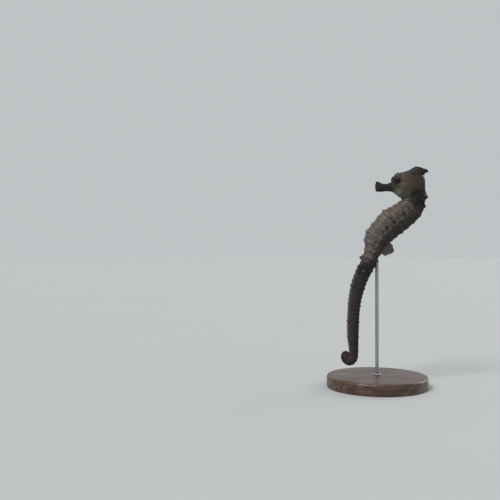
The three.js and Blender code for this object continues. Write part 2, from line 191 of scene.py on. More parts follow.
def to_path(points, path):
    """Each 2-D point's distance to a path, and how far along the path its nearest place is, 0 to 1."""
    path = np.array(path, float)
    lengths = np.linalg.norm(np.diff(path, axis=0), axis=1)
    done = np.concatenate([[0], np.cumsum(lengths)])
    best = np.full(len(points), np.inf)
    along = np.zeros(len(points))
    for a, b, start, length in zip(path, path[1:], done, lengths):
        t = np.clip((points - a) @ (b - a) / length ** 2, 0, 1)
        gap = np.linalg.norm(points - a - t[:, None] * (b - a), axis=1)
        nearer = gap < best
        best[nearer] = gap[nearer]
        along[nearer] = (start + t[nearer] * length) / done[-1]
    return best, along


# ---------- The body's axis and rings ----------

heading = through(HEADING)
belly_reach = through(BELLY_REACH)
back_reach = through(BACK_REACH)
side_reach = through(SIDE_REACH)

STEP = 0.1
turns = np.radians(heading(np.arange(STEP / 2, AXIS_LENGTH + STEP, STEP)))
AXIS = np.vstack([[NAPE], NAPE - STEP * np.cumsum(np.column_stack([np.sin(turns), np.cos(turns)]), axis=0)])

tail_rings = np.arange(TAIL_RINGS)
shorter = 2 * (FIRST_TAIL_RING - TAIL_LENGTH / TAIL_RINGS) / (TAIL_RINGS - 1)
EDGES = np.cumsum([NECK_LENGTH] + [TRUNK_LENGTH / TRUNK_RINGS] * TRUNK_RINGS
                  + list(FIRST_TAIL_RING - tail_rings * shorter))
TRUNK_END = EDGES[TRUNK_RINGS]

trunk_across, trunk_ahead = section_curves(TRUNK_SECTION)
tail_across, tail_ahead = section_curves(TAIL_SECTION)
head_across, head_up = section_curves(HEAD_SECTION)


def body_point(s, ahead, left):
    """The point ahead of the axis at s by the given distances towards the belly and to the left."""
    s, ahead, left = np.broadcast_arrays(*(np.asarray(v, float) for v in (s, ahead, left)))
    places = np.arange(len(AXIS)) * STEP
    turn = np.radians(heading(s))
    y = np.interp(s, places, AXIS[:, 0]) - ahead * np.cos(turn)
    z = np.interp(s, places, AXIS[:, 1]) + ahead * np.sin(turn)
    return np.stack([left, y, z], axis=-1)


def tailness(s):
    """0 on the trunk, 1 on the tail, and smooth where one becomes the other."""
    return ease(s, TRUNK_END + TAIL_BLEND[0], TRUNK_END + TAIL_BLEND[1])


def section(s, corner):
    """How far the body's surface is across and ahead of its axis at s, round at the corner."""
    tail = tailness(s)
    across = mix(trunk_across(corner), tail_across(corner), tail) * side_reach(s)
    front = mix(trunk_ahead(corner), tail_ahead(corner), tail)
    return across, front * np.where(front > 0, belly_reach(s), back_reach(s))


def fullness(s):
    """1 where the body is thick, and less where it is slim."""
    return np.minimum(side_reach(s) / FULL_HALF_WIDTH, 1)


def ring_place(s):
    """The number of the ring at s, the distance from its middle, and its length."""
    ring = np.clip(np.searchsorted(EDGES, s, side="right") - 1, 0, len(EDGES) - 2)
    length = EDGES[ring + 1] - EDGES[ring]
    return ring, s - EDGES[ring] - length / 2, length


def knob_height(ring):
    long_knob = np.where(np.isin(ring, LONG_KNOB_RINGS), LONG_KNOB, 1)
    return KNOB_HEIGHT * np.minimum(side_reach(EDGES[ring]) / 3, 1) * long_knob


def corner_pitch(s):
    """How far apart the section's corners are, in mm, on the way round it."""
    return (2 * side_reach(s) + belly_reach(s) + back_reach(s)) / 4 * 2 * math.pi / CORNERS


def ridges():
    """Each lengthwise ridge's corner, with its strength on the trunk and on the tail."""
    for corner in range(CORNERS):
        side = min(corner, CORNERS - corner)
        if TRUNK_RIDGES[side] or TAIL_RIDGES[side]:
            yield corner, TRUNK_RIDGES[side], TAIL_RIDGES[side]


def body_relief(s, corner):
    """What stands out of the body's plain section, in mm, and the marks that go with it."""
    ring, off, length = ring_place(s)
    ringed = ease(s, NECK_LENGTH - 0.5, NECK_LENGTH + 1)
    full = fullness(s)
    tail = tailness(s)
    pitch = corner_pitch(s)
    band = bump(off, 0.17 * length)
    line = np.zeros(np.shape(off + corner))
    knob = np.zeros_like(line)
    rise = np.zeros_like(line)
    for ridge, on_trunk, on_tail in ridges():
        strength = mix(on_trunk, on_tail, tail)
        beside = ((corner - ridge + CORNERS / 2) % CORNERS - CORNERS / 2) * pitch
        line = np.maximum(line, strength * bump(beside, 0.42 * full + 0.08))
        peak = strength * bump(np.hypot(off, beside), 0.62 * full + 0.16)
        knob = np.maximum(knob, peak)
        rise = np.maximum(rise, peak * knob_height(ring))
    hoop = RING_HEIGHT * mix(1, 0.4, tail) * band
    hollow = mix(*HOLLOW_DEPTH, tail) * full * (1 - band) * (1 - line)
    stripe = (0.5 + 0.5 * np.cos(4 * math.pi * off / length)) * (1 - tail) * ringed
    out = ringed * (hoop + RIDGE_HEIGHT * full * line + rise * mix(1, 0.75, tail) - hollow)
    out += STRIPE_HEIGHT * stripe
    return out, {"ring": ringed * band, "line": ringed * line, "knob": ringed * knob, "stripe": stripe}


# ---------- The head's forms ----------

head_reach_up = through([(d, up) for d, up, _, _ in HEAD])
head_reach_down = through([(d, down) for d, _, down, _ in HEAD])
head_half = through([(d, half) for d, _, _, half in HEAD])


def head_point(behind, up, left):
    behind, up, left = np.broadcast_arrays(*(np.asarray(v, float) for v in (behind, up, left)))
    return np.stack([left, MOUTH[0] + behind, MOUTH[1] + up], axis=-1)


# Paths on the side of the head, as (behind, up)
MOUTH_CLEFT = [(-0.4, 1.4), (0.4, 1.1), (1.1, 0.1)]
CLEFT_DEPTH = 0.38
CREASE_DEPTH = 0.4  # round the gill covers
CREST_HEIGHT = 0.6  # along the top of the head, in front of the coronet

# Low ridges of bone, and grooves where the height is less than 0: path, half width and height
HEAD_LINES = [
    ([(10.6, 5.9), (13.6, 6.1), (17, 6.3), (19.8, 6.6)], 0.55, 0.36),
    ([(8.4, 0.9), (10.2, 0.4), (12.4, 0.1), (14, 0.9)], 0.45, 0.32),
    ([(11.2, -1.6), (12.6, -4.2), (15.6, -5.9), (18.6, -5.6)], 0.5, 0.32),
    ([(2.4, 0.35), (5.2, 0.2), (8.2, 0.6)], 0.3, 0.18),
    ([(3, -1.2), (5.4, -1.4), (8.6, -1.7)], 0.34, -0.14),
    ([(12.2, 2.4), (15, 3.6), (18, 3.5), (21, 2.4)], 0.5, 0.26),
    ([(13.4, 4.6), (16.4, 5), (20.6, 4.6)], 0.45, -0.14),
    ([(21, 1.2), (21.6, -1.6), (20.6, -4.2)], 0.4, -0.2),
]


def head_relief(points):
    """What stands out of the head's plain form, in mm, at points given in mm."""
    flat = np.column_stack([points[:, 1] - MOUTH[0], points[:, 2] - MOUTH[1]])
    sideways = ease(np.abs(points[:, 0]), 0.2, 0.9)
    out = np.zeros(len(points))
    for path, width, height in HEAD_LINES:
        gap, along = to_path(flat, path)
        fade = ease(along, 0, 0.15) * (1 - ease(along, 0.85, 1))
        out += height * bump(gap, width) * fade * sideways
    out -= CLEFT_DEPTH * bump(to_path(flat, MOUTH_CLEFT)[0], 0.16)
    crest = bump(points[:, 0], 1.1) * bump(flat[:, 0] - 17.6, 2.6) * (points[:, 2] > MOUTH[1])
    crease = bump(above_gill_cover(points) - 0.1, 0.16) * ease(flat[:, 0], 13, 16)
    return out + CREST_HEIGHT * crest - CREASE_DEPTH * crease


def above_gill_cover(points):
    """How far points on the head lie outside the gill covers' domes, measured to the side."""
    _, ry, rz = GILL_COVER["radii"]
    y = (points[:, 1] - MOUTH[0] - GILL_COVER["behind"]) / ry
    z = (points[:, 2] - MOUTH[1] - GILL_COVER["up"]) / rz
    dome = np.sqrt(np.clip(1 - y * y - z * z, 0, 1)) * GILL_COVER["radii"][0]
    return np.where(dome > 0, np.abs(points[:, 0]) - GILL_COVER["left"] - dome, 9)


def head_rows():
    """The head's rows of points, from the middle of the mouth's flat front to the back."""
    front, rows, columns = 14, 240, 200
    lip_length, taper_length, slit_depth = 0.4, 1.1, 0.5
    tip, back = HEAD[0][0], HEAD[-1][0]
    gap = np.append(np.zeros(front), np.linspace(0, back - tip, rows))[:, None]
    d = tip + gap
    corner = np.arange(columns)[None, :] * CORNERS / columns
    # The lips round over, and the mouth also narrows across over a longer stretch
    lip = np.sqrt(1 - (1 - np.clip((gap + 0.03) / lip_length, 0, 1)) ** 2)
    lip[:front] *= np.linspace(0.03, 0.95, front)[:, None]
    taper = np.sqrt(1 - (1 - np.clip((gap + 0.05) / taper_length, 0, 1)) ** 2) / np.maximum(lip, 0.35)
    taper = np.where(gap > 0, taper, taper[front])
    across = -head_across(corner) * head_half(d) * lip * np.minimum(taper, 1)
    up = head_up(corner)
    flare = 0.2 * bump(gap - lip_length, 0.9)
    up = up * (np.where(up > 0, head_reach_up(d), head_reach_down(d)) + flare) * lip
    slit = slit_depth * bump(up - MOUTH_CLEFT[0][1], 0.2) * (1 - ease(gap, 0.1, 0.8))
    return head_point(d + slit, up, across)


# ---------- Meshes ----------

class Form:
    """A closed form in mm: its points, its faces, and its marks, one number a point for each name."""

    def __init__(self, points, faces, **marks):
        self.points = np.asarray(points, float)
        self.faces = faces
        self.marks = {k: np.broadcast_to(v, len(self.points)).astype(float) for k, v in marks.items()}

    def mirrored(self):
        return Form(self.points * [-1, 1, 1], [face[::-1] for face in self.faces], **self.marks)


def grid_faces(rows, columns, closed=True):
    """The faces between rows of points. Each row closes on itself unless closed is False."""
    last = columns if closed else columns - 1
    faces = []
    for r in range(rows - 1):
        a = r * columns
        for c in range(last):
            d = (c + 1) % columns
            faces.append((a + c, a + d, a + columns + d, a + columns + c))
    return faces


def loft(rows, **marks):
    """A closed form through rows of points, an array of rows by columns by 3."""
    count, columns, _ = rows.shape
    points = np.vstack([rows.reshape(-1, 3), rows[0].mean(0), rows[-1].mean(0)])
    faces = grid_faces(count, columns)
    first, last = count * columns, count * columns + 1
    for c in range(columns):
        d = (c + 1) % columns
        faces.append((d, c, first))
        faces.append((first - columns + c, first - columns + d, last))
    ends = {k: np.append(np.broadcast_to(v, (count, columns)), [0, 0]) for k, v in marks.items()}
    return Form(points, faces, **ends)


def swept(base, along, profile, columns=40):
    """A form of revolution from base along a direction through (distance, radius) pairs."""
    along = np.array(along, float)
    along /= np.linalg.norm(along)
    side = np.cross(along, (0, 0, 1) if abs(along[2]) < 0.8 else (0, 1, 0))
    side /= np.linalg.norm(side)
    other = np.cross(along, side)
    turn = np.arange(columns) / columns * 2 * math.pi
    circle = np.cos(turn)[:, None] * side + np.sin(turn)[:, None] * other
    return np.stack([np.array(base) + along * h + circle * r for h, r in profile])


def spine(base, tip, radius):
    """A bony spine with a wide foot and a blunt tip."""
    base, tip = np.array(base, float), np.array(tip, float)
    length = np.linalg.norm(tip - base)
    share = np.linspace(0, 1, 24)
    thick = radius * (0.46 * np.sqrt(1 - share ** 2) + 0.54 * (1 - share) ** 1.5)
    return loft(swept(base, tip - base, zip(share * length, thick)))


def head_spine(at):
    """One of the head's spines, which leans a little forward and out."""
    base = head_point(at["behind"], at["up"], at["left"])
    tip = head_point(at["behind"] - 0.4, at["up"] + at["height"], at["left"] * 1.15)
    return spine(base, tip, at["radius"])


def orbit():
    """The left eye's bony turret, with its rim close round the eyeball."""
    profile = through([(0, 2.35), (0.8, 2.26), (1.5, 2.15), (2.1, 2.02), (2.4, 1.88), (2.52, 1.72)])
    outside = [(h, float(profile(h))) for h in np.linspace(0, 2.44, 24)]
    rim = [(2.5, 1.8), (2.53, 1.7), (2.5, 1.6), (2.4, 1.5), (2.1, 1.36), (1.6, 1.1)]
    rows = swept(head_point(EYE["behind"], EYE["up"], 1.6), (1, 0, 0), outside + rim, 72)
    first_lid_row = len(outside) - 3
    return loft(rows, orbit=1, lid=(np.arange(len(rows)) >= first_lid_row)[:, None])


def gill_cover():
    """The left gill cover, a low dome with fine ribs that fan out from its front."""
    rows, columns = 90, 120
    lie = (np.arange(rows) + 0.5)[:, None] / rows * math.pi
    turn = np.arange(columns)[None, :] / columns * 2 * math.pi
    x = np.cos(lie) + 0 * turn
    y = np.sin(lie) * np.cos(turn)
    z = np.sin(lie) * np.sin(turn)
    fan = np.arctan2(z - 0.25, y + 1.15)
    rib = np.cos(fan * 26) * ease(x, 0.1, 0.5) * (1 - ease(x, 0.93, 1))
    rx, ry, rz = GILL_COVER["radii"]
    points = np.stack([x * rx * (1 + 0.08 * rib), y * ry, z * rz], axis=-1)
    centre = head_point(GILL_COVER["behind"], GILL_COVER["up"], GILL_COVER["left"])
    return loft(points + centre)


def coronet():
    """The crown on the back of the head: a leaning cup whose rim stands out in points."""
    levels, columns = 60, 160
    level = np.linspace(0, len(CORONET) - 1, levels)
    keys = [through(list(enumerate(column))) for column in zip(*CORONET)]
    behind, up, long, wide, points, lean = (key(level)[:, None] for key in keys)
    turn = np.arange(columns)[None, :] / columns * 2 * math.pi
    rear = 1 - np.cos(turn)
    peak = (0.5 + 0.5 * np.cos(turn * CORONET_POINTS)) ** 0.9
    out = 1 + np.maximum(points, 0) * mix(0.3, 0.3 + rear * 0.75, peak)
    back = -np.cos(turn) * long * out
    lean = np.radians(lean)
    rows = head_point(behind + back * np.cos(lean), up - back * np.sin(lean), np.sin(turn) * wide * out)
    rows[..., 2] += 0.3 * ease(level[:, None], 3, 4)
    return loft(rows, crown=1)


def body():
    """The body from the nape to the tail's tip."""
    rows, columns = 760, 192
    s = np.linspace(0, AXIS_LENGTH, rows)[:, None]
    corner = np.arange(columns)[None, :] * CORNERS / columns
    plump = mix(1, CURL_FULLNESS, ease(s, 105, 110.5))
    across, ahead = (plump * reach for reach in section(s, corner))
    ahead *= np.where(ahead > 0, mix(1, CURL_BELLY, ease(s, 100, 104.5)), 1)
    relief, marks = body_relief(s, corner)
    stretch = 1 + relief / np.hypot(across, ahead)
    tip = np.sqrt(1 - np.clip((s - AXIS_LENGTH + TIP_ROUNDING) / TIP_ROUNDING, 0, 1) ** 2 * 0.98)
    points = body_point(s, ahead * stretch * tip, -across * stretch * tip)
    marks["s"] = s
    marks["corner"] = np.minimum(corner, CORNERS - corner)
    return loft(points, **marks)


BODY, SKULL, SET_IN = 0, 1, (7, 11)  # places in the list of forms: the body, the head, gill covers
NECK_BLEND = 2.2  # how far the body and the head are smoothed and coloured into each other, in mm


def skin_forms():
    """All the forms that the skin grows round, in the order that the places above tell."""
    left = [head_spine(BROW), head_spine(CHEEK), orbit(), gill_cover()]
    rows = head_rows()
    normals = rows - rows.mean(axis=1, keepdims=True)
    normals[..., 1] = 0
    normals /= np.maximum(np.linalg.norm(normals, axis=-1, keepdims=True), 1e-6)
    relief = head_relief(rows.reshape(-1, 3)).reshape(rows.shape[:2])
    head = loft(rows + normals * relief[..., None], head=1)
    nape = spine(
        body_point(NAPE_SPINE["at"] + 0.6, -NAPE_SPINE["out"], 0),
        body_point(NAPE_SPINE["at"], -NAPE_SPINE["out"] - NAPE_SPINE["height"], 0),
        NAPE_SPINE["radius"],
    )
    return [body(), head, coronet(), nape] + left + [form.mirrored() for form in left]


def new_mesh(name, points, faces):
    """A mesh object from points in mm."""
    mesh = bpy.data.meshes.new(name)
    mesh.from_pydata((np.asarray(points) * MM).tolist(), [], faces)
    mesh.update()
    thing = bpy.data.objects.new(name, mesh)
    bpy.context.scene.collection.objects.link(thing)
    return thing


def joined(forms):
    """All the forms' points and faces as one."""
    points, faces, start = [], [], 0
    for form in forms:
        points.append(form.points)
        faces += [tuple(i + start for i in face) for face in form.faces]
        start += len(form.points)
    return np.vstack(points), faces


def applied(thing):
    """Bakes the object's modifiers into its mesh."""
    graph = bpy.context.evaluated_depsgraph_get()
    mesh = bpy.data.meshes.new_from_object(thing.evaluated_get(graph))
    thing.modifiers.clear()
    old, thing.data = thing.data, mesh
    bpy.data.meshes.remove(old)
    mesh.name = thing.name


def read(items, name, width, kind=np.float32):
    """One property of all of a mesh's vertices or edges, a row for each."""
    found = np.empty(len(items) * width, kind)
    items.foreach_get(name, found)
    return found.reshape(-1, width)


def shade_smooth(thing):
    thing.data.polygons.foreach_set("use_smooth", [True] * len(thing.data.polygons))


def smooth(points, edges, rounds, weight):
    """Moves each point towards the middle of its neighbours, as far as its weight says."""
    a, b = edges.T
    count = np.bincount(a, minlength=len(points)) + np.bincount(b, minlength=len(points))
    for _ in range(rounds):
        total = np.zeros_like(points)
        for axis in range(3):
            total[:, axis] += np.bincount(a, points[b, axis], len(points))
            total[:, axis] += np.bincount(b, points[a, axis], len(points))
        points = points + (total / count[:, None] - points) * weight[:, None]
    return points


def paint_marks(mesh, marks):
    for name, values in marks.items():
        layer = mesh.attributes.new(name, "FLOAT", "POINT")
        layer.data.foreach_set("value", np.asarray(values, np.float32))


# ---------- The skin ----------

# Spots on each side of the body: ring number from the neck, corner round the section and radius in
# mm. Most lie in one row, which gives them their corner.
SPOT_ROW = 3.5
ROW_SPOTS = [(1.75, 0.65), (2.75, 1), (4.5, 0.95), (5.75, 0.95), (6.5, 0.45), (8.25, 0.8)]
FRONT_SPOTS = [(2, 2.5, 0.45), (4.5, 2.75, 0.4)]
DARK_SPOTS = [(ring, SPOT_ROW, radius) for ring, radius in ROW_SPOTS] + FRONT_SPOTS
PALE_SPOT = (13, SPOT_ROW, 0.5)

# Soft patches on the head: distance behind the mouth, height, and reach along and up
# painted shade over the throat, under the head
THROAT_SHADE = (21.5, -7.2, 3.6, 2.8)
NAPE_SHADE = (25.5, -6.5, 3.4, 3.4)
CREST_SHADE = (25.8, 8, 2.4, 2.4)
CROWN_FOOT = (20, 7.5, 2.8, 2.8)
RUSTY_PATCHES = [(22.1, 7.7, 1.7, 1, 1), (22.6, -1.9, 1, 1, 0.7), (17.3, 0.2, 1.8, 3, 0.3)]  # and strength
PALE_CHEEK = (10.9, -3.9, 1.7, 1.7)
# painted light under the jaw, against the head's shade there
PAINTED_JAW_LIGHT = (14.6, -5.8, 3.4, 1.7)
OLIVE_CHEEK = (13.6, 1, 3.52, 5.5)
GILL_SHADE = [(19.8, -3.6), (19.7, -5.8), (20, -7.6), (23.6, -7.8), (24.4, -4.6)]  # a path


def form_marks(forms):
    """Every form's marks under every name, with 0 where a form has none, and each point's form."""
    names = sorted({name for form in forms for name in form.marks})
    marks = {name: np.concatenate([form.marks.get(name, np.zeros(len(form.points))) for form in forms])
             for name in names}
    return marks, np.repeat(np.arange(len(forms)), [len(form.points) for form in forms])


def nearest(sources, points):
    """The number of the source point nearest to each point, and how far off it is."""
    tree = kdtree.KDTree(len(sources))
    for i, source in enumerate(sources):
        tree.insert(source, i)
    tree.balance()
    numbers, gaps = zip(*(tree.find(point)[1:] for point in points))
    return np.array(numbers), np.array(gaps)


def grown_together(points, faces):
    """One closed mesh, in mm, round all the forms."""
    skin = new_mesh("skin", points / MM, faces)
    grow = skin.modifiers.new("grow", "REMESH")
    grow.mode = "VOXEL"
    grow.voxel_size = VOXEL
    grow.use_smooth_shade = True
    applied(skin)
    return skin


def skin_colours(points, found, on_body, wander):
    """The marks that the skin's colours follow, each from 0 to 1."""
    s, corner = found["s"], found["corner"]
    behind, up = points[:, 1] - MOUTH[0], points[:, 2] - MOUTH[1]
    flat = np.column_stack([behind, up])
    on_head = 1 - on_body
    tail = tailness(s) * on_body

    def round_spot(ring, at, radius):
        off = s - np.interp(ring, np.arange(len(EDGES)), EDGES)
        gap = np.hypot(off, (corner - at) * corner_pitch(s)) + 0.25 * wander
        return (1 - ease(gap, radius * 0.6, radius * 1.2)) * on_body

    def patch(at_behind, at_up, reach_along, reach_up, strength=1):
        return strength * bump(np.hypot((behind - at_behind) / reach_along, (up - at_up) / reach_up), 1)

    # From the belly round to the back, and by stretches of the body. The first two lines paint shade on the
    # flank, darker towards the back, less on a band near corner 5 and along the back's middle.
    painted_back_shade = ease(corner, mix(0.2, 1.7, ease(s, 26, 40)), 6)
    painted_back_shade *= (1 - 0.25 * bump(corner - 4.9, 1)) * (1 - 0.4 * ease(corner, 7.1, 7.9))
    waist = bump(s - 34, 9) * (1 - ease(corner, 3.5, 5)) * on_body
    band = np.maximum(bump(s - 53, 4.2), 0.35 * bump(s - 60, 9)) * on_body
    # painted shade on the neck, under the overhanging head
    neck = (1 - ease(s, 8, 13)) * ease(corner, 1, 4) * on_body
    # By stretches of the head, and round the eye and the gills: the head's rear and a path round the gill
    # opening are painted shade
    rear = ease(behind, 18, 25) * on_head
    snout = (1 - ease(behind, 7, 10.5)) * found["head"]
    painted_gill_shade = bump(to_path(flat, GILL_SHADE)[0], 1.8)
    round_eye = np.hypot(behind - EYE["behind"], up - EYE["up"])
    above_rear = (0.7 * (behind - EYE["behind"]) + 0.7 * (up - EYE["up"])) / np.maximum(round_eye, 0.1)
    return {
        "on_body": on_body,
        "tail": tail,
        # painted shade on the flank, and on the tail's back side
        "back": mix(painted_back_shade, ease(corner, 1.4, 6), tail) * on_body,
        "spot": np.max([round_spot(*spot) for spot in DARK_SPOTS], axis=0),
        "green": round_spot(*PALE_SPOT),
        # a dark band at the tail's foot and a dark snout, with painted shade at the nape, round the gills, on
        # the neck, over the throat and at the head's rear, and the crest's shade
        "dark": np.clip(0.95 * band + 0.65 * snout + 0.75 * patch(*NAPE_SHADE) + 0.95 * painted_gill_shade + 0.6 * neck
                        + 0.7 * patch(*THROAT_SHADE) + 0.35 * rear + 0.6 * patch(*CREST_SHADE), 0, 1),
        # painted shade in the mouth's cleft
        "cleft_shade": bump(to_path(flat, MOUTH_CLEFT)[0], 0.2) * on_head,
        "lid": found["lid"] * ease(above_rear, 0.1, 0.9),
        "pale": np.clip(found["knob"] + 0.35 * found["ring"] * found["line"] + 0.3 * waist, 0, 1),
        "stripe": found["stripe"] * (1 - ease(corner, 1.8, 3.7)) * (1 - ease(s, 24, 32)) * on_body,
        "crown": np.clip(found["crown"] + patch(*CROWN_FOOT), 0, 1),
        "rust": np.max([patch(*rusty) * on_head for rusty in RUSTY_PATCHES]
                       + [0.5 * ease(s, 106, 110) * on_body], axis=0),
        # a pale cheek, and painted light under the jaw where the head's shade falls
        "pale_cheek_and_painted_light": np.maximum(patch(*PALE_CHEEK), 0.55 * patch(*PAINTED_JAW_LIGHT)) * on_head,
        "olive": patch(*OLIVE_CHEEK) * on_head,
        "orbit": found["orbit"],
    }


def seam_softness(points, edges, kind):
    """How much each point is smoothed near the seams between forms, and its gap to the body's seams."""
    # Two forms meet where an edge's ends are nearest to different ones
    crossing = kind[edges[:, 0]] != kind[edges[:, 1]]
    seam = edges[crossing][:, 0]
    pairs = kind[edges[crossing]]
    weight = np.zeros(len(points))
    for chosen, reach, strength in (
        (np.isin(pairs, (BODY, SKULL)).all(axis=1), NECK_BLEND, 0.9),
        (np.isin(pairs, SET_IN).any(axis=1), 0.45, 0.35),
        (~np.isin(pairs, (BODY, SKULL, *SET_IN)).all(axis=1), 0.9, 0.8),
    ):
        gap = nearest(points[seam[chosen]], points)[1]
        weight = np.maximum(weight, strength * (1 - ease(gap, 0.15 * reach, reach)))
    return weight, nearest(points[seam[(pairs == BODY).any(axis=1)]], points)[1]


def skin_marks(forms, marks, source, points, kind, neck_gap):
    """The forms' marks on the skin's points. Next to the neck, the head takes the nearest body's."""
    found = {name: values[source] for name, values in marks.items()}
    beside = np.flatnonzero((neck_gap < NECK_BLEND) & (kind != BODY))
    body_source = nearest(forms[BODY].points, points[beside])[0]
    for name in ("s", "corner"):
        found[name][beside] = forms[BODY].marks[name][body_source]
    return found


def make_skin():
    forms = skin_forms()
    sources, faces = joined(forms)
    marks, form_of = form_marks(forms)
    skin = grown_together(sources, faces)
    mesh = skin.data
    points = read(mesh.vertices, "co", 3).astype(float)
    edges = read(mesh.edges, "vertices", 2, np.int32)
    source = nearest(sources, points)[0]
    kind = form_of[source]
    weight, neck_gap = seam_softness(points, edges, kind)
    weight = np.maximum(weight, 0.45 * marks["crown"][source])
    points = smooth(points, edges, round(0.36 / VOXEL ** 2), weight)
    points = smooth(points, edges, 2, np.full(len(points), 0.3))
    found = skin_marks(forms, marks, source, points, kind, neck_gap)
    on_body = mix(0.5, np.where(kind == BODY, 1, 0), ease(neck_gap, 0, NECK_BLEND))
    rough = np.array([noise.noise(point) for point in points * 0.9])
    fine = np.array([noise.noise(point) for point in points * 2.6])
    uneven = fullness(found["s"]) * (0.05 * rough + 0.035 * fine)
    points += read(mesh.vertices, "normal", 3) * uneven[:, None]
    mesh.vertices.foreach_set("co", (points * MM).astype(np.float32).ravel())
    mesh.update()
    paint_marks(mesh, skin_colours(points, found, on_body, rough + fine))
    return skin


# ---------- Materials ----------

def node(tree, kind, inputs=None, out=0, **settings):
    """A new node's output. An input is a plain value, or an output to link."""
    made = tree.nodes.new(kind)
    for name, value in settings.items():
        setattr(made, name, value)
    for name, value in (inputs or {}).items():
        if isinstance(value, bpy.types.NodeSocket):
            tree.links.new(value, made.inputs[name])
        else:
            made.inputs[name].default_value = value
    return made.outputs[out]


def colour(code):
    """A hex colour as linear red, green, blue and alpha."""
    parts = [int(code[i:i + 2], 16) / 255 for i in (0, 2, 4)]
    return [c / 12.92 if c <= 0.04045 else ((c + 0.055) / 1.055) ** 2.4 for c in parts] + [1]


def material(name, **constants):
    """A new material, its tree and its shader node, with the shader's plain values set."""
    made = bpy.data.materials.new(name)
    made.use_nodes = True
    shader = made.node_tree.nodes["Principled BSDF"]
    for socket, value in constants.items():
        shader.inputs[socket.replace("_", " ")].default_value = value
    return made, made.node_tree, shader


def blend(tree, share, a, b, mode="MIX"):
    """Colour b over colour a by a share."""
    return node(tree, "ShaderNodeMix", {0: share, 6: a, 7: b}, 2, data_type="RGBA", blend_type=mode)


def maths(tree, operation, a, b=0.0):
    return node(tree, "ShaderNodeMath", {0: a, 1: b}, operation=operation)


def remap(tree, value, low, high, to_low=0.0, to_high=1.0):
    """A value turned smoothly from one range into another."""
    return node(tree, "ShaderNodeMapRange", {"Value": value, "From Min": low, "From Max": high,
                                             "To Min": to_low, "To Max": to_high},
                interpolation_type="SMOOTHSTEP")


def mark(tree, name):
    """A mark that the mesh carries, as a number."""
    return node(tree, "ShaderNodeAttribute", out=2, attribute_name=name)


def place(tree):
    """The place on the object, in its own metres."""
    return node(tree, "ShaderNodeTexCoord", out=3)


def speckle(tree, size, detail=3.0, rough=0.55):
    """Soft noise from 0 to 1 whose grains are about the size given, in mm."""
    return node(tree, "ShaderNodeTexNoise", {"Vector": place(tree), "Scale": 1 / (size * MM),
                                             "Detail": detail, "Roughness": rough})


def flecked(tree, value, low, high, below, above):
    """One hex colour where a value is low, and another where it is high."""
    return blend(tree, remap(tree, value, low, high), colour(below), colour(above))


def dots(tree, spacing, radius, offset):
    """1 inside small dots scattered about the spacing apart, in mm, and 0 between them."""
    moved = node(tree, "ShaderNodeVectorMath", {0: place(tree), 1: (offset, 0, 0)})
    cells = node(tree, "ShaderNodeTexVoronoi", {"Vector": moved, "Scale": 1 / (spacing * MM)})
    share = radius / spacing
    return remap(tree, cells, 0.7 * share, 1.3 * share, 1, 0)


